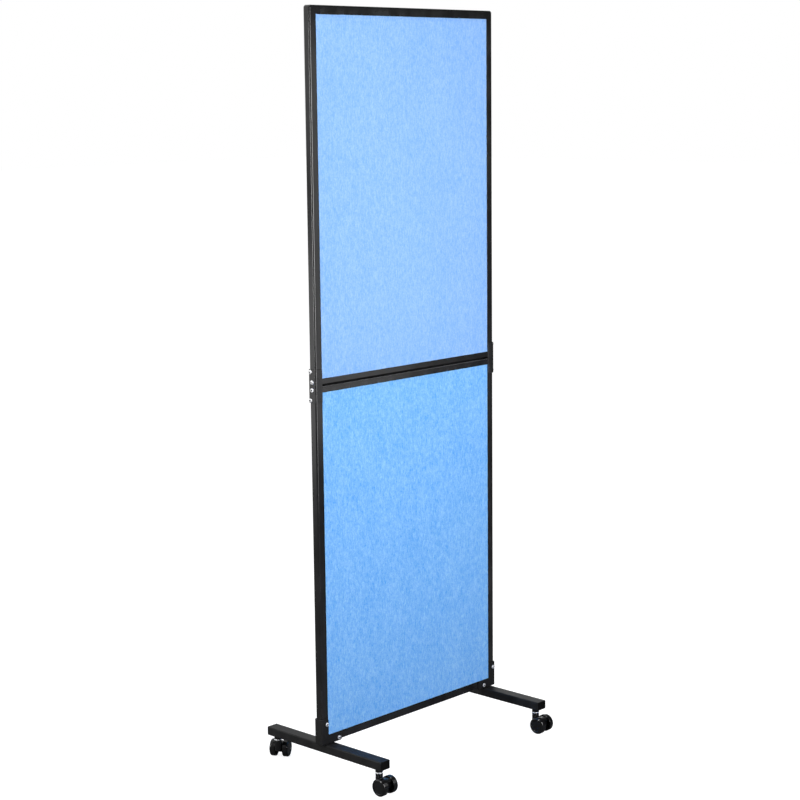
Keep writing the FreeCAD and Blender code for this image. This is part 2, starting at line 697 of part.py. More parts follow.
screw = panHeadScrew()
for hand, side in sides:
    jointSleeve(hand + "_joint_sleeve", side)
    screwGroup(hand + "_sleeve_screws", screw,
               [((side * (halfWidth + s.sleeveSheet), y, midHeight + z), (side, 0, 0))
                for up in (1, -1) for y, z in sleeveScrews(side, up)])
    cornerBracket(hand + "_corner_bracket", side)
    screwGroup(hand + "_bracket_screws", screw,
               [((x, face * (halfDepth + s.bracketSheet), frameBottom + z), (0, face, 0))
                for face in (-1, 1) for x, z in bracketScrews(side, face)])
    footTube(hand + "_foot_tube", side)
    for end, along in ends:
        footPlug("%s_%s_foot_plug" % (hand, end), side, along)

yaws = {"left_front": s.leftFrontYaw, "right_front": s.rightFrontYaw,
        "left_rear": s.leftRearYaw, "right_rear": s.rightRearYaw}
for hand, side in sides:
    for end, along in ends:
        name = "%s_%s" % (hand, end)
        corner = (side, along, yaws[name])
        threadedBush(name + "_caster_bush", corner)
        casterStem(name + "_caster_stem", corner)
        casterHood(name + "_caster_hood", corner)
        casterAxle(name + "_caster_axle", corner)
        casterWheel(name + "_outer_wheel", corner, side)
        casterWheel(name + "_inner_wheel", corner, -side)

doc.recompute()
for item in doc.Objects:
    if "Invalid" in item.State or "Error" in item.State:
        raise RuntimeError("%s did not build: %s" % (item.Name, item.State))
for piece in pieces:
    if piece.Shape.isNull() or not piece.Shape.isValid():
        raise RuntimeError("%s has no valid shape" % piece.Label)

os.makedirs("parts", exist_ok=True)
for piece in pieces:
    piece.Shape.exportStep("parts/%s.step" % piece.Label)
print("%d pieces written" % len(pieces))
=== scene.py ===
import json
import math
import bmesh
import bpy
from mathutils import Matrix, Vector, noise


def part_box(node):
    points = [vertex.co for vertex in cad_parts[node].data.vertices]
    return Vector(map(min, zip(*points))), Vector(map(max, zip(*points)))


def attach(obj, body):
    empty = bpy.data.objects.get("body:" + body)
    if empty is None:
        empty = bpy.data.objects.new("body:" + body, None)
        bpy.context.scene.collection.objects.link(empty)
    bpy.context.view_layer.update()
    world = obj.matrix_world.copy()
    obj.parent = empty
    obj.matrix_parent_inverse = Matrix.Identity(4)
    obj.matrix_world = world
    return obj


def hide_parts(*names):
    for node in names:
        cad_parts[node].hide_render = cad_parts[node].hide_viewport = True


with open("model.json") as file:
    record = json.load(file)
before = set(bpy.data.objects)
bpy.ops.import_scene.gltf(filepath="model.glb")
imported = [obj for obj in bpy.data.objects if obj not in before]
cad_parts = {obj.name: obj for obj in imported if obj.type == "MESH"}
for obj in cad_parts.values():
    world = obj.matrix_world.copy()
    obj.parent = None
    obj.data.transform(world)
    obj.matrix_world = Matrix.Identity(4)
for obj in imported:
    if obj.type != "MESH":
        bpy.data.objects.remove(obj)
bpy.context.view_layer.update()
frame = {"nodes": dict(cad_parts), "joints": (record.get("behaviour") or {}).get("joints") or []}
mm = 0.001
weld = 1e-7
hair = 1e-6
scene = bpy.context.scene
nodes = frame["nodes"]
joints = {joint["name"]: joint for joint in frame["joints"]}
halves = (("upper", 1), ("lower", -1))
hands = (("left", -1), ("right", 1))
corners = [hand + "_" + end for hand, side in hands for end in ("front", "rear")]
print("frame: %d nodes, %d joints" % (len(nodes), len(joints)))


# A value in a node tree; sums of values add their Math nodes
class Wire:
    def __init__(self, graph, socket):
        self.graph = graph
        self.socket = socket

    def maths(self, operation, first, second):
        return self.graph.node("ShaderNodeMath", {"operation": operation}, {0: first, 1: second})

    def __add__(self, other):
        return self.maths("ADD", self, other)

    def __radd__(self, other):
        return self.maths("ADD", other, self)

    def __sub__(self, other):
        return self.maths("SUBTRACT", self, other)

    def __rsub__(self, other):
        return self.maths("SUBTRACT", other, self)

    def __mul__(self, other):
        return self.maths("MULTIPLY", self, other)

    def __rmul__(self, other):
        return self.maths("MULTIPLY", other, self)


class Graph:
    def __init__(self, tree):
        self.tree = tree

    def node(self, kind, settings, values, output=0):
        made = self.tree.nodes.new(kind)
        for key, value in settings.items():
            setattr(made, key, value)
        for key, value in values.items():
            self.join(value, made.inputs[key])
        return Wire(self, made.outputs[output])

    def join(self, value, socket):
        if isinstance(value, Wire):
            self.tree.links.new(value.socket, socket)
        else:
            socket.default_value = value


# A surface finish on object coordinates. A grain has a pitch in features per metre along x, y and z,
# then its detail and roughness
class Finish(Graph):
    def __init__(self, name):
        self.material = bpy.data.materials.new(name)
        self.material.use_nodes = True
        super().__init__(self.material.node_tree)
        self.shader = self.tree.nodes["Principled BSDF"]
        self.spot = self.node("ShaderNodeTexCoord", {}, {}, "Object")

    def grain(self, pitch, detail=2.0, rough=0.5, shift=0.0):
        spread = self.node("ShaderNodeMapping", {}, {"Vector": self.spot, "Scale": pitch,
                                                     "Location": (shift, shift, shift)})
        return self.node("ShaderNodeTexNoise", {}, {"Vector": spread, "Scale": 1.0,
                                                    "Detail": detail, "Roughness": rough})

    def between(self, value, low, high):
        return self.node("ShaderNodeMapRange", {"clamp": True},
                         {"Value": value, "From Min": low, "From Max": high})

    def mixed(self, share, first, second):
        return self.node("ShaderNodeMix", {"data_type": "RGBA"}, {0: share, 6: first, 7: second}, 2)

    def edges(self, low, high):
        point = self.node("ShaderNodeNewGeometry", {}, {}, "Pointiness")
        return self.between(point, low, high)

    def put(self, name, value):
        self.join(value, self.shader.inputs[name])

    def bump(self, height, strength, distance):
        self.put("Normal", self.node("ShaderNodeBump", {}, {"Strength": strength, "Distance": distance,
                                                           "Height": height}))


def tint(red, green, blue):
    return (red, green, blue, 1.0)


# Needle-punched felt: slow clouds, centimetre mottling and short upright fibre streaks
feltLook = {
    # Both boards are one felt. The upper board's lighter, greyer colours and the lower board's deeper blue
    # are painted light: a lit and a shaded copy.
    "upper": {"dark": tint(0.185, 0.425, 0.880), "light": tint(0.370, 0.595, 0.965), "shift": 0.0},
    "lower": {"dark": tint(0.095, 0.385, 0.900), "light": tint(0.335, 0.650, 0.990), "shift": 7.3},
    "cloud": 0.3, "mottle": 0.55, "streak": 1.9, "fleck": 1.6, "strand": 0.6,
    "cloudGrain": ((13, 13, 8), 3.0, 0.5), "mottleGrain": ((95, 95, 55), 3.0, 0.6),
    "streakGrain": ((310, 310, 90), 3.0, 0.65), "fleckGrain": ((430, 430, 330), 2.0, 0.6),
    "rough": 0.86, "roughSpread": 0.12, "shine": 0.15, "sheen": 0.12, "sheenRough": 0.55,
    "mottleRelief": 0.6, "fleckRelief": 0.5, "relief": 0.35, "reliefDepth": 0.8 * mm,
}


def feltFinish(half):
    look = feltLook[half]
    felt = Finish(half + "Felt")
    cloud, mottle, streak, fleck = (felt.grain(*feltLook[layer + "Grain"], look["shift"])
                                    for layer in ("cloud", "mottle", "streak", "fleck"))
    strand = felt.node("ShaderNodeAttribute", {"attribute_name": "strandTone"}, {}, "Fac")
    tone = (0.5 + feltLook["cloud"] * (cloud - 0.5) + feltLook["mottle"] * (mottle - 0.5)
            + feltLook["streak"] * (streak - 0.5) + feltLook["fleck"] * (fleck - 0.5)
            + feltLook["strand"] * strand)
    felt.put("Base Color", felt.mixed(felt.between(tone, 0.0, 1.0), look["dark"], look["light"]))
    felt.put("Roughness", feltLook["rough"] + feltLook["roughSpread"] * fleck)
    felt.put("Specular IOR Level", feltLook["shine"])
    felt.put("Sheen Weight", feltLook["sheen"])
    felt.put("Sheen Roughness", feltLook["sheenRough"])
    nap = streak + feltLook["mottleRelief"] * mottle + feltLook["fleckRelief"] * fleck
    felt.bump(nap, feltLook["relief"], feltLook["reliefDepth"])
    return felt.material


# Black powder coat: smooth on the drawn channels, sandy on bent sheet and tube, darker and matte inside
# the middle joint as painted shade, and lighter on the lower cross rail's rounded top edge as a painted
# highlight
powderLook = {
    "channel": {"dark": tint(0.0070, 0.0070, 0.0073), "light": tint(0.0115, 0.0115, 0.0119),
                "worn": tint(0.040, 0.040, 0.041), "gloss": 0.14, "shine": 0.50, "haze": 0.04,
                "peel": 520, "bump": 0.06},
    "sheet": {"dark": tint(0.0065, 0.0065, 0.0068), "light": tint(0.0125, 0.0125, 0.0129),
              "worn": tint(0.040, 0.040, 0.041), "gloss": 0.42, "shine": 0.22, "haze": 0.14,
              "peel": 950, "bump": 0.34},
    "sleeve": {"dark": tint(0.0075, 0.0075, 0.0078), "light": tint(0.0150, 0.0150, 0.0154),
               "worn": tint(0.040, 0.040, 0.041), "gloss": 0.20, "shine": 0.50, "haze": 0.08,
               "peel": 900, "bump": 0.26},
    # Painted shade: a darker, matte coat on the faces inside the middle joint
    "joint": {"dark": tint(0.0020, 0.0020, 0.0021), "light": tint(0.0040, 0.0040, 0.0041),
              "worn": tint(0.004, 0.004, 0.004), "gloss": 0.80, "shine": 0.04, "haze": 0.10,
              "peel": 700, "bump": 0.20},
    # Painted highlight: a lighter coat on the lower cross rail's rounded top edge
    "rubbed": {"dark": tint(0.050, 0.050, 0.051), "light": tint(0.080, 0.080, 0.081),
               "worn": tint(0.100, 0.100, 0.101), "gloss": 0.45, "shine": 0.30, "haze": 0.10,
               "peel": 700, "bump": 0.10},
    "hazeGrain": ((34, 34, 16), 3.0, 0.55), "speckGrain": ((2600, 2600, 2600), 1.0, 0.5),
    "blend": (0.3, 0.7), "speck": 0.05, "speckRelief": 0.3, "reliefDepth": 0.08 * mm,
    "edge": (0.515, 0.60), "patch": (0.35, 0.7), "rub": 0.5,
}


def powderFinish(kind):
    look = powderLook[kind]
    coat = Finish(kind + "PowderCoat")
    haze = coat.grain(*powderLook["hazeGrain"])
    peel = coat.grain((look["peel"],) * 3)
    speck = coat.grain(*powderLook["speckGrain"])
    # Patchy edge wear that lightens the sharp edges
    rubbed = (coat.edges(*powderLook["edge"]) * coat.between(haze, *powderLook["patch"])
              * powderLook["rub"])
    blend = coat.between(0.5 * haze + 0.5 * speck, *powderLook["blend"])
    paint = coat.mixed(blend, look["dark"], look["light"])
    coat.put("Base Color", coat.mixed(rubbed, paint, look["worn"]))
    coat.put("Roughness", look["gloss"] + look["haze"] * haze + powderLook["speck"] * speck)
    coat.put("Specular IOR Level", look["shine"])
    coat.bump(peel + powderLook["speckRelief"] * speck, look["bump"], powderLook["reliefDepth"])
    return coat.material


# Black nylon: satin corners, dull plugs and polished casters
nylonLook = {
    "corner": {"dark": tint(0.0080, 0.0080, 0.0083), "light": tint(0.0130, 0.0130, 0.0134),
               "gloss": 0.16, "shine": 0.50, "grain": 1500, "bump": 0.05},
    "plug": {"dark": tint(0.0018, 0.0018, 0.0019), "light": tint(0.0036, 0.0036, 0.0037),
             "gloss": 0.58, "shine": 0.10, "grain": 1300, "bump": 0.22},
    "caster": {"dark": tint(0.0040, 0.0040, 0.0042), "light": tint(0.0085, 0.0085, 0.0088),
               "gloss": 0.07, "shine": 0.50, "grain": 900, "bump": 0.04},
    "flowGrain": ((60, 60, 90), 3.0, 0.55), "scuffGrain": ((210, 340, 240), 4.0, 0.7),
    "toothGrain": (2.0, 0.55), "scuffs": (0.55, 0.8), "flow": 0.6, "scuff": 0.4,
    "roughSpread": 0.06, "reliefDepth": 0.08 * mm,
}


def nylonFinish(kind):
    look = nylonLook[kind]
    nylon = Finish(kind + "Nylon")
    flow = nylon.grain(*nylonLook["flowGrain"])
    tooth = nylon.grain((look["grain"],) * 3, *nylonLook["toothGrain"])
    scuff = nylon.between(nylon.grain(*nylonLook["scuffGrain"]), *nylonLook["scuffs"])
    tone = nylonLook["flow"] * flow + nylonLook["scuff"] * scuff
    nylon.put("Base Color", nylon.mixed(tone, look["dark"], look["light"]))
    spread = nylonLook["roughSpread"]
    nylon.put("Roughness", look["gloss"] + spread * flow + spread * scuff)
    nylon.put("Specular IOR Level", look["shine"])
    nylon.bump(tooth, look["bump"], nylonLook["reliefDepth"])
    return nylon.material


# Bright zinc plate; the screws' cross recesses are near black: painted shade, with some dirt
zincLook = {"dull": tint(0.74, 0.75, 0.77), "bright": tint(0.94, 0.95, 0.96),
            "recess": tint(0.02, 0.02, 0.02), "gloss": 0.30, "metal": 0.35,
            "spangleGrain": ((700, 700, 700), 3.0, 0.6), "drawnGrain": ((1400, 1400, 260), 2.0, 0.5),
            "blend": (0.3, 0.7), "roughSpread": 0.16, "relief": 0.10, "reliefDepth": 0.05 * mm}


def zincFinish():
    zinc = Finish("brightZinc")
    spangle = zinc.grain(*zincLook["spangleGrain"])
    drawn = zinc.grain(*zincLook["drawnGrain"])
    recess = zinc.node("ShaderNodeAttribute", {"attribute_name": "recess"}, {}, "Fac")
    plate = zinc.mixed(zinc.between(spangle, *zincLook["blend"]), zincLook["dull"], zincLook["bright"])
    # The recess faces take a near-black colour: painted shade
    zinc.put("Base Color", zinc.mixed(recess, plate, zincLook["recess"]))
    zinc.put("Metallic", zincLook["metal"] - zincLook["metal"] * recess)
    zinc.put("Roughness", zincLook["gloss"] + zincLook["roughSpread"] * drawn)
    zinc.bump(drawn, zincLook["relief"], zincLook["reliefDepth"])
    return zinc.material


finishes = {
    "upperFelt": feltFinish("upper"), "lowerFelt": feltFinish("lower"),
    "channel": powderFinish("channel"), "sheet": powderFinish("sheet"), "joint": powderFinish("joint"),
    "sleeve": powderFinish("sleeve"), "rubbed": powderFinish("rubbed"), "zinc": zincFinish(),
    "corner": nylonFinish("corner"), "plug": nylonFinish("plug"), "caster": nylonFinish("caster"),
}
print("finishes: %d" % len(finishes))


def piece(name, mesh, finish, body, *stands):
    made = bpy.data.objects.new(name, mesh)
    scene.collection.objects.link(made)
    mesh.materials.clear()
    mesh.materials.append(finishes[finish])
    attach(made, body)
    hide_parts(*stands)
    return made


def plainMesh(name, shape):
    bmesh.ops.remove_doubles(shape, verts=shape.verts, dist=weld)
    bmesh.ops.recalc_face_normals(shape, faces=shape.faces)
    mesh = bpy.data.meshes.new(name)
    shape.to_mesh(mesh)
    shape.free()
    return mesh


# Smooth curves and crisp flats: rounded sharp edges, then face-weighted normals
def dress(made, width=0.0, segments=2, sharp=50):
    made.data.shade_smooth()
    if width:
        rounded = made.modifiers.new("softEdge", "BEVEL")
        rounded.width = width
        rounded.segments = segments
        rounded.limit_method = "ANGLE"
        rounded.angle_limit = math.radians(sharp)
        rounded.use_clamp_overlap = True
    else:
        made.data.set_sharp_from_angle(angle=math.radians(sharp))
    weighted = made.modifiers.new("flatFaces", "WEIGHTED_NORMAL")
    weighted.keep_sharp = True
    return made


def carrierOf(name, mesh):
    carrier = bpy.data.objects.new(name, mesh)
    scene.collection.objects.link(carrier)
    return carrier


# Turns a carrier and its modifiers into a plain mesh
def settled(carrier):
    bpy.context.view_layer.update()
    ready = carrier.evaluated_get(bpy.context.evaluated_depsgraph_get())
    mesh = bpy.data.meshes.new_from_object(ready)
    bpy.data.objects.remove(carrier)
    return mesh


def baked(carrier, tree, inputs):
    modifier = carrier.modifiers.new("make", "NODES")
    modifier.node_group = tree
    for item in tree.interface.items_tree:
        if item.in_out == "INPUT" and item.name in inputs:
            modifier[item.identifier] = inputs[item.name]
    return settled(carrier)


def newTree(name, sockets):
    tree = bpy.data.node_groups.new(name, "GeometryNodeTree")
    tree.interface.new_socket("Geometry", in_out="OUTPUT", socket_type="NodeSocketGeometry")
    for label, kind in sockets:
        tree.interface.new_socket(label, in_out="INPUT", socket_type="NodeSocket" + kind)
    graph = Graph(tree)
    entry = tree.nodes.new("NodeGroupInput")
    given = {label: Wire(graph, entry.outputs[label]) for label, kind in sockets}
    return graph, given


def together(graph, *parts):
    both = graph.tree.nodes.new("GeometryNodeJoinGeometry")
    for part in parts:
        graph.tree.links.new(part.socket, both.inputs[0])
    return Wire(graph, both.outputs[0])


def closeTree(graph, geometry, finish):
    painted = graph.node("GeometryNodeSetMaterial", {}, {"Geometry": geometry, "Material": finish})
    leave = graph.tree.nodes.new("NodeGroupOutput")
    graph.tree.links.new(painted.socket, leave.inputs["Geometry"])
    return graph.tree


# Outlines: points of a section, u across and v inwards from the outer face
def arc(u, v, radius, start, stop, steps):
    angles = [math.radians(start + (stop - start) * i / steps) for i in range(steps + 1)]
    return [(u + radius * math.cos(a), v + radius * math.sin(a)) for a in angles]


def roundedBox(u, v0, v1, radius, steps=6):
    return (arc(-u + radius, v0 + radius, radius, 180, 270, steps)
            + arc(u - radius, v0 + radius, radius, 270, 360, steps)
            + arc(u - radius, v1 - radius, radius, 0, 90, steps)
            + arc(-u + radius, v1 - radius, radius, 90, 180, steps))


def channelOutline(half, leg, wall, web, radius, inner, lip, stops=()):
    inside = half - wall
    rising = [(half, v) for v in stops]
    falling = [(inside, v) for v in reversed(stops)]
    right = (arc(half - radius, radius, radius, 270, 360, 8) + rising
             + arc(half - lip, leg - lip, lip, 0, 90, 3)
             + arc(inside + lip, leg - lip, lip, 90, 180, 3) + falling
             + arc(inside - inner, web + inner, inner, 0, -90, 5))
    left = [(-u, v) for u, v in reversed(right)]
    return left + right


def bridge(shape, rings):
    count = len(rings[0])
    for near, far in zip(rings, rings[1:]):
        for i in range(count):
            following = (i + 1) % count
            shape.faces.new((near[i], near[following], far[following], far[i]))


def sweep(shape, section, stations, ends=True):
    rings = [[shape.verts.new(station(u, v)) for u, v in section] for station in stations]
    bridge(shape, rings)
    if ends:
        shape.faces.new(rings[0])
        shape.faces.new(rings[-1])
    return rings


# Frame channels, with a hairline seam where they meet the corner pieces.
# The crest is the part of a cross rail's bend that shows in the middle joint
channelSizes = {"half": 10 * mm, "wall": 1.2 * mm, "radius": 4.2 * mm, "jointRadius": 2.6 * mm,
                "lip": 0.45 * mm, "seam": 0.06 * mm, "edge": 0.12 * mm, "crest": 0.6}


def channelSection(leg, radius):
    half, wall, lip = (channelSizes[key] for key in ("half", "wall", "lip"))
    return channelOutline(half, leg, wall, wall, radius, radius - wall, lip)


def stilePiece(node, side):
    low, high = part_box(node)
    outer = max(abs(low.x), abs(high.x))
    seam = channelSizes["seam"]
    shape = bmesh.new()
    sweep(shape, channelSection(high.x - low.x, channelSizes["radius"]),
          [lambda u, v, z=z: (side * (outer - v), u, z) for z in (low.z + seam, high.z - seam)])
    made = piece("painted_" + node, plainMesh(node, shape), "channel", "screen", node)
    return dress(made, channelSizes["edge"])


def railPiece(node, opens):
    low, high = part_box(node)
    web = low.z if opens > 0 else high.z
    seam = channelSizes["seam"]
    bend = channelSizes["jointRadius" if "cross" in node else "radius"]
    shape = bmesh.new()
    sweep(shape, channelSection(high.z - low.z, bend),
          [lambda u, v, x=x: (x, u, web + opens * v) for x in (low.x + seam, high.x - seam)])
    made = piece("painted_" + node, plainMesh(node, shape), "channel", "screen", node)
    if "cross" in node:
        made.data.materials.append(finishes["joint"])
        made.data.materials.append(finishes["rubbed"])
        paintedGapShade, rubbed = 1, 2
        crest = channelSizes["crest"] * bend
        for face in made.data.polygons:
            depth = opens * (face.center.z - web)
            rounded = abs(face.center.y) > channelSizes["half"] - bend
            # The lower rail's rounded top edge is painted lighter: a painted highlight
            if opens < 0 and rounded and depth < crest:
                face.material_index = rubbed
            # The webs in the gap and the upper rail's rounded lower edge are painted darker: painted shade
            elif depth < (crest if opens > 0 else hair):
                face.material_index = paintedGapShade
    return dress(made, channelSizes["edge"])


for half, up in halves:
    for hand, side in hands:
        stilePiece("%s_%s_stile" % (half, hand), side)
    railPiece(half + "_cross_rail", up)
railPiece("top_rail", -1)
railPiece("bottom_rail", 1)
print("frame channels")


# A section carried round a corner: along one leg, round the bend and along the other.
# place(a, b, u) takes distances from the two outer faces; reach gives each leg's end at depth v.
def bentSweep(shape, section, bend, reach, place, steps=8):
    def onLeg(first):
        def station(u, v):
            end = reach[0](v) if first else reach[1](v)
            return place(v, end, u) if first else place(end, v, u)
        return station

    def onBend(angle):
        def station(u, v):
            radius = max(bend - v, 0.0)
            centre = max(bend, v)
            return place(centre - radius * math.cos(angle), centre - radius * math.sin(angle), u)
        return station

    turn = [onBend(math.pi / 2 * i / steps) for i in range(steps + 1)]
    sweep(shape, section, [onLeg(True)] + turn + [onLeg(False)])


# Moulded corner elbows with the spigots that reach into the channels
elbowSizes = {"half": 10 * mm, "face": 20 * mm, "wall": 1.2 * mm, "seat": 10.8 * mm, "radius": 4.2 * mm,
              "inner": 0.3 * mm, "lip": 0.5 * mm, "bend": 6 * mm, "leg": 34 * mm, "spigot": 30 * mm,
              "spigotHalf": 8.7 * mm, "spigotBack": 1.3 * mm, "spigotEdge": 3.1 * mm, "root": 0.5 * mm,
              "edge": 0.25 * mm}


def elbowPiece(half, up, hand, side):
    sizes = elbowSizes
    node = "%s_%s_corner" % (half, hand)
    low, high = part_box(node)
    outX = max(abs(low.x), abs(high.x))
    outZ = high.z if up > 0 else low.z

    def place(a, b, u):
        return (side * (outX - a), u, outZ - up * b)

    shape = bmesh.new()
    section = channelOutline(sizes["half"], sizes["face"], sizes["wall"], sizes["seat"], sizes["radius"],
                             sizes["inner"], sizes["lip"])
    bentSweep(shape, section, sizes["bend"], [lambda v: sizes["leg"]] * 2, place)
    bar = roundedBox(sizes["spigotHalf"], sizes["spigotBack"], sizes["seat"], sizes["spigotEdge"])
    ends = (sizes["leg"] - sizes["root"], sizes["leg"] + sizes["spigot"])
    sweep(shape, bar, [lambda u, v, b=b: place(v, b, u) for b in ends])
    sweep(shape, bar, [lambda u, v, a=a: place(a, v, u) for a in ends])
    made = piece("moulded_" + node, plainMesh(node, shape), "corner", "screen", node)
    return dress(made, sizes["edge"])


for half, up in halves:
    for hand, side in hands:
        elbowPiece(half, up, hand, side)
print("corner elbows")


# Joint sleeves and corner brackets, bent from sheet
sleeveSizes = {"wall": 2 * mm, "radius": 4.2 * mm, "inner": 2.2 * mm, "lip": 0.6 * mm, "edge": 0.35 * mm,
               "segments": 3}
bracketSizes = {"wall": 2 * mm, "radius": 2.5 * mm, "inner": 0.5 * mm, "lip": 0.5 * mm,
                "flange": 22 * mm, "end": 6 * mm, "edge": 0.3 * mm, "steps": 7}


def sleevePiece(hand, side):
    node = hand + "_joint_sleeve"
    low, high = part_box(node)
    outer = max(abs(low.x), abs(high.x))
    section = channelOutline(high.y, high.x - low.x, sleeveSizes["wall"], sleeveSizes["wall"],
                             sleeveSizes["radius"], sleeveSizes["inner"], sleeveSizes["lip"])
    shape = bmesh.new()
    sweep(shape, section, [lambda u, v, z=z: (side * (outer - v), u, z) for z in (low.z, high.z)])
    made = piece("painted_" + node, plainMesh(node, shape), "sleeve", "screen", node)
    return dress(made, sleeveSizes["edge"], sleeveSizes["segments"])


def bracketPiece(hand, side):
    sizes = bracketSizes
    node = hand + "_corner_bracket"
    low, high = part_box(node)
    outer = max(abs(low.x), abs(high.x))
    up, along = high.z - low.z, high.x - low.x
    straight = sizes["flange"] - sizes["end"]
    first = max(sizes["radius"], sizes["wall"] + sizes["inner"])

    def shortened(full, both):
        def end(v):
            past = v - straight if v > straight else (sizes["end"] - v if both and v < sizes["end"] else 0.0)
            return full - sizes["end"] + math.sqrt(max(sizes["end"] ** 2 - past ** 2, 0.0))
        return end

    def place(a, c, u):
        return (side * (outer - a), u, low.z + c)

    rounds = [i / sizes["steps"] for i in range(1, sizes["steps"])]
    stops = [first + (sizes["end"] - first) * t for t in rounds] + [sizes["end"]]
    stops += [straight + sizes["end"] * math.sin(math.pi / 2 * t) for t in [0] + rounds[:-1]]
    section = channelOutline(high.y, sizes["flange"], sizes["wall"], sizes["wall"], sizes["radius"],
                             sizes["inner"], sizes["lip"], stops)
    shape = bmesh.new()
    bentSweep(shape, section, sizes["radius"], [shortened(up, False), shortened(along, True)], place)
    made = piece("painted_" + node, plainMesh(node, shape), "sheet", "screen", node)
    return dress(made, sizes["edge"])


for hand, side in hands:
    sleevePiece(hand, side)
    bracketPiece(hand, side)
print("sleeves and brackets")


# Surface of revolution about local Z from points (radius, height), closed where the radius is 0
def lathe(profile, segments):
    shape = bmesh.new()
    rings = []
    for radius, height in profile:
        if radius < weld:
            rings.append([shape.verts.new((0, 0, height))])
            continue
        turns = [2 * math.pi * i / segments for i in range(segments)]
        rings.append([shape.verts.new((radius * math.cos(a), radius * math.sin(a), height)) for a in turns])
    for near, far in zip(rings, rings[1:]):
        for i in range(segments):
            following = (i + 1) % segments
            corner = [near[i % len(near)], near[following % len(near)],
                      far[following % len(far)], far[i % len(far)]]
            kept = [vert for k, vert in enumerate(corner) if vert not in corner[:k]]
            if len(kept) > 2:
                shape.faces.new(kept)
    return shape


# Pan-head screws with a cross recess, set on their seats and each turned its own way
screwSizes = {"head": 4.75 * mm, "height": 2.8 * mm, "dome": 2.24 * mm, "rim": 0.25 * mm, "shank": 2.1 * mm,
              "length": 11 * mm, "tip": 2 * mm, "cross": 2.6 * mm, "slot": 0.95 * mm, "depth": 2.2 * mm,
              "taper": 0.3, "undercut": 0.075 * mm, "segments": 40, "sharp": 35, "seed": 11}


def screwMesh():
    sizes = screwSizes
    rim = [(sizes["head"] - sizes["undercut"], 0.0), (sizes["head"], sizes["rim"])]
    dome = arc(sizes["head"] - sizes["dome"], sizes["height"] - sizes["dome"], sizes["dome"], 0, 90, 8)
    shank = [(0.0, -sizes["length"]), (sizes["shank"], sizes["tip"] - sizes["length"]),
             (sizes["shank"], 0.0)]
    profile = shank + rim + dome + [(0.0, sizes["height"])]
    head = carrierOf("panHead", plainMesh("panHead", lathe(profile, sizes["segments"])))
    cutter = bmesh.new()
    arms = [(sizes["slot"], sizes["slot"]), (sizes["slot"], sizes["cross"]), (-sizes["slot"], sizes["cross"])]
    outlineOfCross = [(x * math.cos(q) - y * math.sin(q), x * math.sin(q) + y * math.cos(q))
                      for q in (0, math.pi / 2, math.pi, 3 * math.pi / 2) for x, y in arms]
    sweep(cutter, outlineOfCross, [
        lambda u, v: (u * sizes["taper"], v * sizes["taper"], sizes["height"] - sizes["depth"]),
        lambda u, v: (u, v, sizes["height"] + sizes["rim"])])
    tool = carrierOf("crossTool", plainMesh("crossTool", cutter))
    cut = head.modifiers.new("cross", "BOOLEAN")
    cut.operation = "DIFFERENCE"
    cut.solver = "EXACT"
    cut.object = tool
    mesh = settled(head)
    bpy.data.objects.remove(tool)
    mesh.shade_smooth()
    mesh.set_sharp_from_angle(angle=math.radians(sizes["sharp"]))
    # Faces down in the cross recess are marked for painted shade
    recessShadeMask = mesh.attributes.new("recess", "FLOAT", "FACE")
    for face in mesh.polygons:
        below = 0 < face.center.z < sizes["height"] - sizes["rim"] / 2
        recessShadeMask.data[face.index].value = float(below and face.center.xy.length < sizes["cross"])
    return mesh


def screwTree():
    graph, given = newTree("screwsOnSeats", [("Geometry", "Geometry"), ("Screw", "Object"), ("Seed", "Int")])
    facing = graph.node("GeometryNodeInputNamedAttribute", {"data_type": "FLOAT_VECTOR"}, {"Name": "facing"})
    upright = graph.node("FunctionNodeAlignRotationToVector", {"axis": "Z"}, {"Vector": facing})
    driven = graph.node("FunctionNodeRandomValue", {"data_type": "FLOAT"},
                        {2: 0.0, 3: math.pi / 2, "Seed": given["Seed"]}, 1)
    spin = graph.node("FunctionNodeAxisAngleToRotation", {}, {"Axis": (0, 0, 1), "Angle": driven})
    turned = graph.node("FunctionNodeRotateRotation", {"rotation_space": "LOCAL"},
                        {"Rotation": upright, "Rotate By": spin})
    screw = graph.node("GeometryNodeObjectInfo", {}, {"Object": given["Screw"]}, "Geometry")
    placed = graph.node("GeometryNodeInstanceOnPoints", {},
                        {"Points": given["Geometry"], "Instance": screw, "Rotation": turned})
    real = graph.node("GeometryNodeRealizeInstances", {}, {"Geometry": placed})
    return closeTree(graph, real, finishes["zinc"])


def spanOf(spots):
    return (Vector([min(spot[i] for spot in spots) for i in range(3)]),
            Vector([max(spot[i] for spot in spots) for i in range(3)]))


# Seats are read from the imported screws: one point under each head, facing out of the frame
def screwSeats(node, axis):
    shape = bmesh.new()
    shape.from_mesh(nodes[node].data)
    bmesh.ops.remove_doubles(shape, verts=shape.verts, dist=hair)
    left = set(shape.verts)
    seats = []
    while left:
        group, queue = [], [left.pop()]
        while queue:
            vert = queue.pop()
            group.append(vert.co.copy())
            for edge in vert.link_edges:
                other = edge.other_vert(vert)
                if other in left:
                    left.remove(other)
                    queue.append(other)
        low, high = spanOf(group)
        middle = (low + high) / 2
        outward = 1 if middle[axis] > 0 else -1
        top = high[axis] if outward > 0 else low[axis]
        middle[axis] = top - outward * screwSizes["height"]
        seats.append((middle, outward))
    shape.free()
    return sorted(seats, key=lambda seat: tuple(round(part, 4) for part in seat[0]))


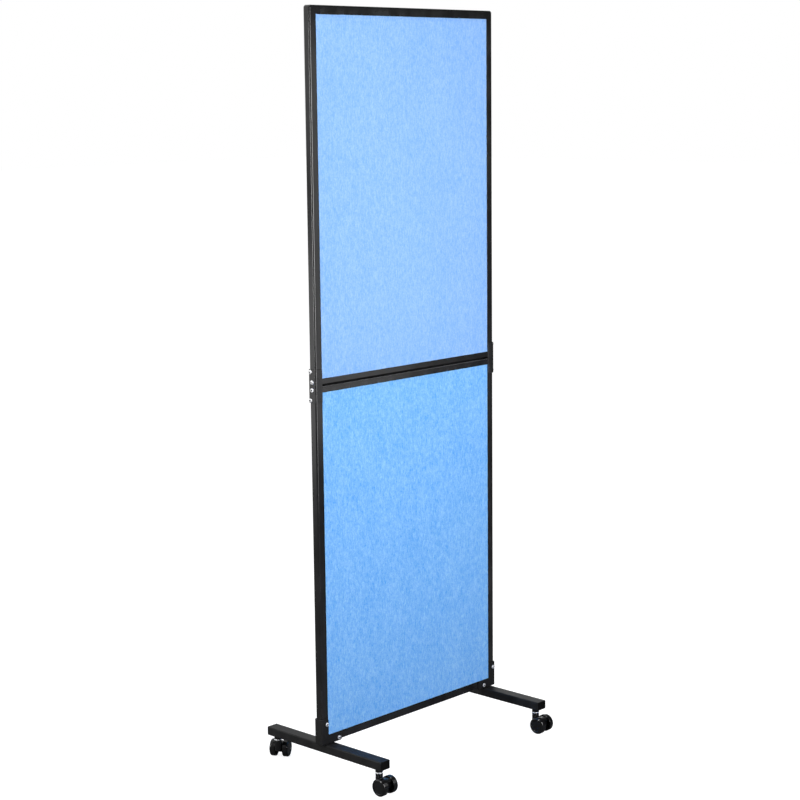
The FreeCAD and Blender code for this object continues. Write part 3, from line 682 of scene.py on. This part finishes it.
screwTool = carrierOf("screwTool", screwMesh())
screwNodes = screwTree()
for hand, side in hands:
    for kind, axis in (("sleeve", 0), ("bracket", 1)):
        node = "%s_%s_screws" % (hand, kind)
        seats = screwSeats(node, axis)
        points = bpy.data.meshes.new(node)
        points.from_pydata([spot for spot, outward in seats], [], [])
        facing = points.attributes.new("facing", "FLOAT_VECTOR", "POINT")
        for datum, (spot, outward) in zip(facing.data, seats):
            datum.vector = [outward if i == axis else 0.0 for i in range(3)]
        mesh = baked(carrierOf(node + "Seats", points), screwNodes,
                     {"Screw": screwTool, "Seed": screwSizes["seed"] + len(node)})
        piece("zinc_" + node, mesh, "zinc", "screen", node)
bpy.data.objects.remove(screwTool)
print("screws")


# Felt boards: a slightly uneven face, with loose strands of fibre lying on it
boardSizes = {"cell": 7 * mm, "swell": 0.12 * mm, "wave": 9.0, "apart": 3, "flat": 0.9, "sharp": 40}
strandSizes = {"length": 11 * mm, "width": 0.32 * mm, "arch": 0.22 * mm, "density": 11000.0, "lean": 0.5,
               "shortest": 0.45, "longest": 1.35, "stations": (0.0, 0.33, 0.7, 1.0), "tip": 0.25,
               "footing": 0.35, "bow": 0.12, "curl": 2.2, "seed": 4}


def boardMesh(node):
    low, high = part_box(node)
    columns = round((high.x - low.x) / boardSizes["cell"])
    rows = round((high.z - low.z) / boardSizes["cell"])
    shape = bmesh.new()
    grids = []
    for face in (-1, 1):
        grid = []
        for j in range(rows + 1):
            z = low.z + (high.z - low.z) * j / rows
            line = []
            for i in range(columns + 1):
                x = low.x + (high.x - low.x) * i / columns
                spot = Vector((x, boardSizes["apart"] * face, z))
                hollow = 0.5 + 0.5 * noise.noise(spot * boardSizes["wave"])
                line.append(shape.verts.new((x, face * (high.y - boardSizes["swell"] * hollow), z)))
            grid.append(line)
        grids.append(grid)
    for grid in grids:
        for j in range(rows):
            for i in range(columns):
                shape.faces.new((grid[j][i], grid[j][i + 1], grid[j + 1][i + 1], grid[j + 1][i]))
    front, back = grids
    rims = [([line[0] for line in front], [line[0] for line in back]),
            ([line[-1] for line in front], [line[-1] for line in back]),
            (front[0], back[0]), (front[-1], back[-1])]
    for near, far in rims:
        for i in range(len(near) - 1):
            shape.faces.new((near[i], near[i + 1], far[i + 1], far[i]))
    mesh = plainMesh(node, shape)
    mesh.shade_smooth()
    mesh.set_sharp_from_angle(angle=math.radians(boardSizes["sharp"]))
    return mesh


# One strand: a flat ribbon along local Y that lifts a little in the middle and tapers at its ends
def strandMesh():
    sizes = strandSizes
    shape = bmesh.new()
    pairs = []
    for t in sizes["stations"]:
        swell = math.sin(math.pi * t)
        wide = sizes["width"] * (sizes["tip"] + (1 - sizes["tip"]) * swell) / 2
        bow = sizes["bow"] * sizes["length"] * math.sin(sizes["curl"] * t)
        along = sizes["length"] * (t - 0.5)
        lift = sizes["arch"] * (sizes["footing"] + (1 - sizes["footing"]) * swell)
        pairs.append([shape.verts.new((bow + way * wide, along, lift)) for way in (-1, 1)])
    for near, far in zip(pairs, pairs[1:]):
        shape.faces.new((near[0], near[1], far[1], far[0]))
    mesh = bpy.data.meshes.new("strand")
    shape.to_mesh(mesh)
    shape.free()
    mesh.shade_smooth()
    return mesh


def strandTree(finish):
    graph, given = newTree("strandsOnFelt", [
        ("Geometry", "Geometry"), ("Strand", "Object"), ("Density", "Float"), ("Lean", "Float"),
        ("Shortest", "Float"), ("Longest", "Float"), ("Seed", "Int")])
    normal = graph.node("GeometryNodeInputNormal", {}, {})
    across = graph.node("ShaderNodeSeparateXYZ", {}, {0: normal}, 1)
    flat = graph.node("FunctionNodeCompare", {"data_type": "FLOAT", "operation": "GREATER_THAN"},
                      {0: across * across, 1: boardSizes["flat"]})
    scatter = graph.tree.nodes.new("GeometryNodeDistributePointsOnFaces")
    for label, value in (("Mesh", given["Geometry"]), ("Selection", flat), ("Density", given["Density"]),
                         ("Seed", given["Seed"])):
        graph.join(value, scatter.inputs[label])
    points, facing = (Wire(graph, scatter.outputs[label]) for label in ("Points", "Normal"))

    def chance(low, high, shift):
        return graph.node("FunctionNodeRandomValue", {"data_type": "FLOAT"},
                          {2: low, 3: high, "Seed": given["Seed"] + shift}, 1)

    outwards = graph.node("FunctionNodeAlignRotationToVector", {"axis": "Z"}, {"Vector": facing})
    upright = graph.node("FunctionNodeAlignRotationToVector", {"axis": "Y", "pivot_axis": "Z"},
                         {"Rotation": outwards, "Vector": (0.0, 0.0, 1.0)})
    lean = chance(-1.0, 1.0, 1)
    spin = graph.node("FunctionNodeAxisAngleToRotation", {},
                      {"Axis": (0, 0, 1), "Angle": lean * given["Lean"]})
    turned = graph.node("FunctionNodeRotateRotation", {"rotation_space": "LOCAL"},
                        {"Rotation": upright, "Rotate By": spin})
    strand = graph.node("GeometryNodeObjectInfo", {}, {"Object": given["Strand"]}, "Geometry")
    grown = chance(given["Shortest"], given["Longest"], 2)
    size = graph.node("ShaderNodeCombineXYZ", {}, {0: 1.0, 1: grown, 2: 1.0})
    placed = graph.node("GeometryNodeInstanceOnPoints", {},
                        {"Points": points, "Instance": strand, "Rotation": turned, "Scale": size})
    toned = graph.node("GeometryNodeStoreNamedAttribute", {"data_type": "FLOAT", "domain": "INSTANCE"},
                       {"Geometry": placed, "Name": "strandTone", "Value": chance(-1.0, 1.0, 3)})
    real = graph.node("GeometryNodeRealizeInstances", {}, {"Geometry": toned})
    return closeTree(graph, together(graph, given["Geometry"], real), finish)


strandTool = carrierOf("strandTool", strandMesh())
for half, up in halves:
    node = half + "_felt_panel"
    tree = strandTree(finishes[half + "Felt"])
    mesh = baked(carrierOf(node + "Board", boardMesh(node)), tree, {
        "Strand": strandTool, "Density": strandSizes["density"], "Lean": strandSizes["lean"],
        "Shortest": strandSizes["shortest"], "Longest": strandSizes["longest"],
        "Seed": strandSizes["seed"] + up})
    piece("fibre_" + node, mesh, half + "Felt", "screen", node)
bpy.data.objects.remove(strandTool)
print("felt boards")


# Foot tubes with rolled corners, and the plugs pressed into their ends, each with a sunken face
footSizes = {"radius": 2.5 * mm, "wall": 1.5 * mm, "inner": 1.0 * mm, "edge": 0.3 * mm}
plugSizes = {"radius": 1.1 * mm, "tightest": 0.3 * mm, "rim": 2.2 * mm, "draft": 0.3 * mm,
             "narrowing": 0.3, "sink": 0.9 * mm, "edge": 0.4 * mm, "wall": 1.5 * mm, "sharp": 45}


def footPiece(hand):
    node = hand + "_foot_tube"
    low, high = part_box(node)
    middle = (low.x + high.x) / 2
    wide, tall, wall = (high.x - low.x) / 2, high.z - low.z, footSizes["wall"]
    outside = roundedBox(wide, 0.0, tall, footSizes["radius"])
    inside = roundedBox(wide - wall, wall, tall - wall, footSizes["inner"])
    shape = bmesh.new()
    stations = [lambda u, v, y=y: (middle + u, y, low.z + v) for y in (low.y, high.y)]
    outer = sweep(shape, outside, stations, ends=False)
    inner = sweep(shape, inside, stations, ends=False)
    for rims in zip(outer, inner):
        bridge(shape, rims)
    made = piece("painted_" + node, plainMesh(node, shape), "sheet", "screen", node)
    return dress(made, footSizes["edge"])


def plugPiece(corner):
    node = corner + "_foot_plug"
    low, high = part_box(node)
    end = -1 if low.y < 0 else 1
    face, back = (low.y, high.y) if end < 0 else (high.y, low.y)
    middle = (low.x + high.x) / 2
    wide, tall = (high.x - low.x) / 2, high.z - low.z
    sizes = plugSizes

    def ring(inset, y):
        corner = max(sizes["radius"] - inset * sizes["narrowing"], sizes["tightest"])
        section = roundedBox(wide - inset, inset, tall - inset, corner)
        return [lambda u, v: (middle + u, y, low.z + v), section]

    rings = [ring(sizes["wall"], face - end * (sizes["sink"] + sizes["wall"])), ring(sizes["wall"], back),
             ring(0.0, back), ring(0.0, face), ring(sizes["rim"], face),
             ring(sizes["rim"] + sizes["draft"], face - end * sizes["sink"])]
    shape = bmesh.new()
    loops = [[shape.verts.new(station(u, v)) for u, v in section] for station, section in rings]
    bridge(shape, loops)
    shape.faces.new(loops[0])
    shape.faces.new(loops[-1])
    made = piece("moulded_" + node, plainMesh(node, shape), "plug", "screen", node)
    return dress(made, sizes["edge"], sharp=sizes["sharp"])


for hand, side in hands:
    footPiece(hand)
for corner in corners:
    plugPiece(corner)
print("feet")


# Casters. Each is made around its own swivel axis, with the axle along local X
def casterFrame(corner):
    stem = Vector(joints[corner + "_swivel"]["pos_m"])
    along = Vector(joints[corner + "_outer_wheel_spin"]["axis"]).normalized()
    across = Vector((0, 0, 1)).cross(along)
    turn = Matrix((along, across, (0, 0, 1))).transposed().to_4x4()
    return Matrix.Translation((stem.x, stem.y, 0)) @ turn


def localBox(node, place):
    return spanOf([place.inverted() @ vert.co for vert in nodes[node].data.vertices])


bushSizes = {"bore": 5.1 * mm, "shank": 6.5 * mm, "boss": 8.75 * mm, "drop": 8.4 * mm, "edge": 0.8 * mm,
             "segments": 48, "sharp": 40}
stemSizes = {"pin": 4 * mm, "thread": 5 * mm, "collar": 8.75 * mm, "collarHeight": 2.6 * mm, "edge": 0.7 * mm,
             "waist": 0.5 * mm, "segments": 56, "sharp": 40}


def bushPiece(corner, place):
    node = corner + "_caster_bush"
    low, high = localBox(node, place)
    sizes = bushSizes
    edge = sizes["edge"]
    profile = [(sizes["bore"], low.z), (sizes["boss"] - edge, low.z)]
    profile += arc(sizes["boss"] - edge, low.z + edge, edge, 270, 360, 5)
    profile += [(sizes["boss"], low.z + sizes["drop"]), (sizes["shank"], low.z + sizes["drop"]),
                (sizes["shank"], high.z), (sizes["bore"], high.z), (sizes["bore"], low.z)]
    mesh = plainMesh(node, lathe(profile, sizes["segments"]))
    mesh.transform(place)
    made = piece("turned_" + node, mesh, "sheet", "screen", node)
    return dress(made, sharp=sizes["sharp"])


def stemPiece(corner, place):
    node = corner + "_caster_stem"
    low, high = localBox(node, place)
    sizes = stemSizes
    bushBottom = localBox(corner + "_caster_bush", place)[0].z
    bottom = bushBottom - sizes["collarHeight"]
    edge = sizes["edge"]
    profile = [(0.0, low.z), (sizes["pin"] - edge, low.z), (sizes["pin"], low.z + edge),
               (sizes["pin"], bottom)]
    profile += arc(sizes["collar"] - edge, bottom + edge, edge, 270, 360, 4)
    profile += [(sizes["collar"] - sizes["waist"], (bottom + bushBottom) / 2)]
    profile += arc(sizes["collar"] - edge, bushBottom - edge, edge, 0, 90, 4)
    profile += [(sizes["thread"], bushBottom), (sizes["thread"], high.z - edge),
                (sizes["thread"] - edge, high.z), (0.0, high.z)]
    mesh = plainMesh(node, lathe(profile, sizes["segments"]))
    mesh.transform(place)
    made = piece("zinc_" + node, mesh, "zinc", "screen", node)
    return dress(made, sharp=sizes["sharp"])


# The moulded hood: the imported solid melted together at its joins
hoodSizes = {"voxel": 0.55 * mm, "soften": 0.5, "rounds": 8}


def hoodPiece(corner):
    node = corner + "_caster_hood"
    shape = bmesh.new()
    shape.from_mesh(nodes[node].data)
    raw = carrierOf(node + "Raw", plainMesh(node, shape))
    voxels = raw.modifiers.new("melt", "REMESH")
    voxels.mode = "VOXEL"
    voxels.voxel_size = hoodSizes["voxel"]
    soft = raw.modifiers.new("soften", "SMOOTH")
    soft.factor = hoodSizes["soften"]
    soft.iterations = hoodSizes["rounds"]
    mesh = settled(raw)
    mesh.shade_smooth()
    return piece("moulded_" + node, mesh, "caster", corner + "_caster", node)


wheelSizes = {"rim": 3.4 * mm, "face": 2.6 * mm, "shoulder": 3.8 * mm, "edge": 1.2 * mm, "dish": 14 * mm,
              "dishDepth": 1.0 * mm, "crown": 0.35 * mm, "crownEnd": 0.9, "groove": 0.35 * mm,
              "grooveOut": 0.35 * mm, "grooveIn": 0.7 * mm, "grooveEnd": 1.0 * mm, "step": 0.1 * mm,
              "hub": 5.5 * mm, "bore": 3.05 * mm, "bevel": 0.3 * mm, "ribs": 8, "ribThickness": 1.4 * mm,
              "ribDepth": 6 * mm, "ribSink": 0.2 * mm, "crownStops": (0.8, 0.6, 0.4, 0.2), "segments": 96,
              "sharp": 32}


def ribTree():
    graph, given = newTree("wheelRibs", [
        ("Geometry", "Geometry"), ("Ribs", "Int"), ("Middle", "Float"), ("Length", "Float"),
        ("Thickness", "Float"), ("Depth", "Float"), ("Height", "Float")])
    ring = graph.node("GeometryNodeMeshCircle", {}, {"Vertices": given["Ribs"], "Radius": given["Middle"]})
    away = graph.node("GeometryNodeInputPosition", {}, {})
    outward = graph.node("FunctionNodeAlignRotationToVector", {"axis": "X", "pivot_axis": "Z"},
                         {"Vector": away})
    size = graph.node("ShaderNodeCombineXYZ", {},
                      {0: given["Length"], 1: given["Thickness"], 2: given["Depth"]})
    rib = graph.node("GeometryNodeMeshCube", {}, {"Size": size})
    placed = graph.node("GeometryNodeInstanceOnPoints", {},
                        {"Points": ring, "Instance": rib, "Rotation": outward})
    real = graph.node("GeometryNodeRealizeInstances", {}, {"Geometry": placed})
    lift = graph.node("ShaderNodeCombineXYZ", {}, {2: given["Height"]})
    raised = graph.node("GeometryNodeSetPosition", {}, {"Geometry": real, "Offset": lift})
    return closeTree(graph, together(graph, given["Geometry"], raised), finishes["caster"])


ribNodes = ribTree()


def wheelPiece(corner, which, place):
    node = "%s_%s_wheel" % (corner, which)
    low, high = localBox(node, place)
    outward = 1 if high.x > -low.x else -1
    inner, outer = sorted((abs(low.x), abs(high.x)))
    radius = (high.z - low.z) / 2
    sizes = wheelSizes
    width = outer - inner
    dish = width - sizes["dishDepth"]
    closed = dish - sizes["face"]
    hollow = radius - sizes["rim"]
    bevel = sizes["bevel"]
    profile = [(0.0, closed), (sizes["bore"], closed), (sizes["bore"], bevel), (sizes["bore"] + bevel, 0.0),
               (sizes["hub"] - bevel, 0.0), (sizes["hub"], bevel), (sizes["hub"], closed), (hollow, closed),
               (hollow, bevel), (hollow + bevel, 0.0)]
    profile += arc(radius - sizes["edge"], sizes["edge"], sizes["edge"], 270, 360, 5)
    profile += arc(radius - sizes["shoulder"], width - sizes["shoulder"], sizes["shoulder"], 0, 90, 10)
    profile += arc(sizes["dish"] + sizes["dishDepth"] + bevel, width - bevel, bevel, 90, 135, 2)
    groove = dish - sizes["groove"]
    profile += [(sizes["dish"] + sizes["grooveOut"], dish + sizes["step"]), (sizes["dish"], groove),
                (sizes["dish"] - sizes["grooveIn"], groove), (sizes["dish"] - sizes["grooveEnd"], dish)]
    profile += [(sizes["dish"] * t, dish + sizes["crown"] * (1 - (t / sizes["crownEnd"]) ** 2))
                for t in sizes["crownStops"]]
    profile += [(0.0, dish + sizes["crown"])]
    carrier = carrierOf(node + "Shell", plainMesh(node, lathe(profile, sizes["segments"])))
    mesh = baked(carrier, ribNodes, {
        "Ribs": sizes["ribs"], "Middle": (hollow + sizes["hub"]) / 2,
        "Length": hollow - sizes["hub"] + 2 * sizes["ribSink"],
        "Thickness": sizes["ribThickness"], "Depth": sizes["ribDepth"],
        "Height": closed - sizes["ribDepth"] / 2 + sizes["ribSink"] / 2})
    middle = (low + high) / 2
    quarter = Matrix.Rotation(math.radians(90 * outward), 4, "Y")
    mesh.transform(place @ Matrix.Translation((outward * inner, middle.y, middle.z)) @ quarter)
    made = piece("moulded_" + node, mesh, "caster", node, node)
    return dress(made, sharp=sizes["sharp"])


for corner in corners:
    place = casterFrame(corner)
    bushPiece(corner, place)
    stemPiece(corner, place)
    hoodPiece(corner)
    for which in ("outer", "inner"):
        wheelPiece(corner, which, place)
print("casters")

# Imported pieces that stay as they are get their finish
kept = {corner + "_caster_axle": "zinc" for corner in corners}
kept.update({"%s_%s_cross_rail_plug" % (half, hand): "plug" for half, up in halves for hand, side in hands})
for node, finish in kept.items():
    for holder in nodes[node].material_slots:
        holder.material = finishes[finish]
print("kept pieces: %d" % len(kept))


# Stage: pale floor, white surround, soft boxes and the camera where the photograph was taken.
# A box that isn't mirrored shows in no reflection, and one without spread shows only in reflections
stageSizes = {"floor": 60.0, "floorSeen": tint(0.45, 0.45, 0.45), "floorLit": tint(0.14, 0.14, 0.14),
              "glow": 0.86, "rough": 0.9, "shine": 0.1}
surround = {"seen": 1.0, "dim": 0.05, "bright": 1.0, "towards": (-0.25, 0.93, 0.28), "slope": 1.2}
softBoxes = {
    "key": {"spot": (-0.20, -2.0, 1.30), "aim": (-0.15, 0.0, 1.2), "size": (0.8, 1.0), "power": 42.0},
    "fill": {"spot": (1.30, -1.60, 1.05), "aim": (-0.3, 0.0, 1.0), "size": (0.6, 1.4), "power": 2.6},
    "edge": {"spot": (-2.2, 0.44, 1.25), "aim": (-0.3, 0.0, 1.2), "size": (0.3, 1.0), "power": 26.0},
    "rim": {"spot": (-2.7, 2.3, 0.50), "aim": (-0.3, 0.0, 0.8), "size": (1.4, 0.9), "power": 6.0},
    "back": {"spot": (2.3, 1.75, 1.0), "aim": (0.2, 0.0, 0.1), "size": (1.0, 0.8), "power": 3.5},
    "top": {"spot": (-0.7, -0.35, 2.9), "aim": (0.0, 0.0, 0.3), "size": (0.6, 0.6), "power": 12.0},
    "low": {"spot": (-0.1, -1.9, 0.30), "aim": (0.0, 0.0, 0.30), "size": (0.9, 0.4), "power": 4.0,
            "tone": (0.08, 0.22, 1.0), "mirrored": False},
    "strip": {"spot": (-0.20, -2.0, 0.55), "aim": (-0.15, 0.0, 0.55), "size": (0.8, 0.5), "power": 10.0,
              "spread": False},
}
cameraSizes = {"spot": (-3.2126, -3.0058, 1.5720), "azimuth": -46.722, "elevation": 9.333, "roll": -0.617,
               "lens": 84.926, "sensor": 36.0}


def floorPiece():
    reach = stageSizes["floor"] / 2
    mesh = bpy.data.meshes.new("floor")
    mesh.from_pydata([(-reach, -reach, 0), (reach, -reach, 0), (reach, reach, 0), (-reach, reach, 0)], [],
                     [(0, 1, 2, 3)])
    floor = bpy.data.objects.new("floor", mesh)
    scene.collection.objects.link(floor)
    paint = Finish("paleFloor")
    seen = paint.node("ShaderNodeLightPath", {}, {}, "Is Camera Ray")
    paint.put("Base Color", paint.mixed(seen, stageSizes["floorLit"], stageSizes["floorSeen"]))
    paint.put("Roughness", stageSizes["rough"])
    paint.put("Specular IOR Level", stageSizes["shine"])
    paint.put("Emission Color", paint.mixed(seen, tint(0, 0, 0), tint(1, 1, 1)))
    paint.put("Emission Strength", stageSizes["glow"])
    mesh.materials.append(paint.material)


def surroundLight():
    world = bpy.data.worlds.new("surround")
    world.use_nodes = True
    scene.world = world
    graph = Graph(world.node_tree)
    world.node_tree.nodes.clear()
    way = graph.node("ShaderNodeTexCoord", {}, {}, "Generated")
    lean = graph.node("ShaderNodeVectorMath", {"operation": "DOT_PRODUCT"}, {0: way, 1: surround["towards"]},
                      "Value")
    dim, bright = (tint(level, level, level) for level in (surround["dim"], surround["bright"]))
    shade = graph.node("ShaderNodeMix", {"data_type": "RGBA", "clamp_factor": True},
                       {0: lean * surround["slope"], 6: dim, 7: bright}, 2)
    lit = graph.node("ShaderNodeBackground", {}, {"Color": shade, "Strength": 1.0})
    seen = graph.node("ShaderNodeBackground", {}, {"Color": tint(1, 1, 1), "Strength": surround["seen"]})
    fromCamera = graph.node("ShaderNodeLightPath", {}, {}, "Is Camera Ray")
    both = graph.node("ShaderNodeMixShader", {}, {0: fromCamera, 1: lit, 2: seen})
    leave = world.node_tree.nodes.new("ShaderNodeOutputWorld")
    graph.join(both, leave.inputs["Surface"])


def softBox(name, facts):
    light = bpy.data.lights.new(name, "AREA")
    light.shape = "RECTANGLE"
    light.size, light.size_y = facts["size"]
    light.energy = facts["power"]
    light.color = facts.get("tone", (1.0, 1.0, 1.0))
    lamp = bpy.data.objects.new(name, light)
    aim = Vector(facts["aim"]) - Vector(facts["spot"])
    lamp.matrix_world = Matrix.Translation(facts["spot"]) @ aim.to_track_quat("-Z", "Y").to_matrix().to_4x4()
    lamp.visible_camera = False
    lamp.visible_diffuse = facts.get("spread", True)
    lamp.visible_glossy = facts.get("mirrored", True)
    scene.collection.objects.link(lamp)


def cameraPiece():
    azimuth, elevation, roll = (math.radians(cameraSizes[key]) for key in ("azimuth", "elevation", "roll"))
    back = Vector((math.sin(azimuth) * math.cos(elevation), -math.cos(azimuth) * math.cos(elevation),
                   math.sin(elevation)))
    right = Vector((math.cos(azimuth), math.sin(azimuth), 0))
    up = back.cross(right)
    tilted = right * math.cos(roll) + up * math.sin(roll)
    turn = Matrix((tilted, back.cross(tilted), back)).transposed().to_4x4()
    lens = bpy.data.cameras.new("camera")
    lens.lens = cameraSizes["lens"]
    lens.sensor_width = cameraSizes["sensor"]
    camera = bpy.data.objects.new("camera", lens)
    camera.matrix_world = Matrix.Translation(cameraSizes["spot"]) @ turn
    scene.collection.objects.link(camera)
    scene.camera = camera


floorPiece()
surroundLight()
for name, facts in softBoxes.items():
    softBox(name, facts)
cameraPiece()
scene.view_settings.view_transform = "Standard"
print("stage, lights and camera")
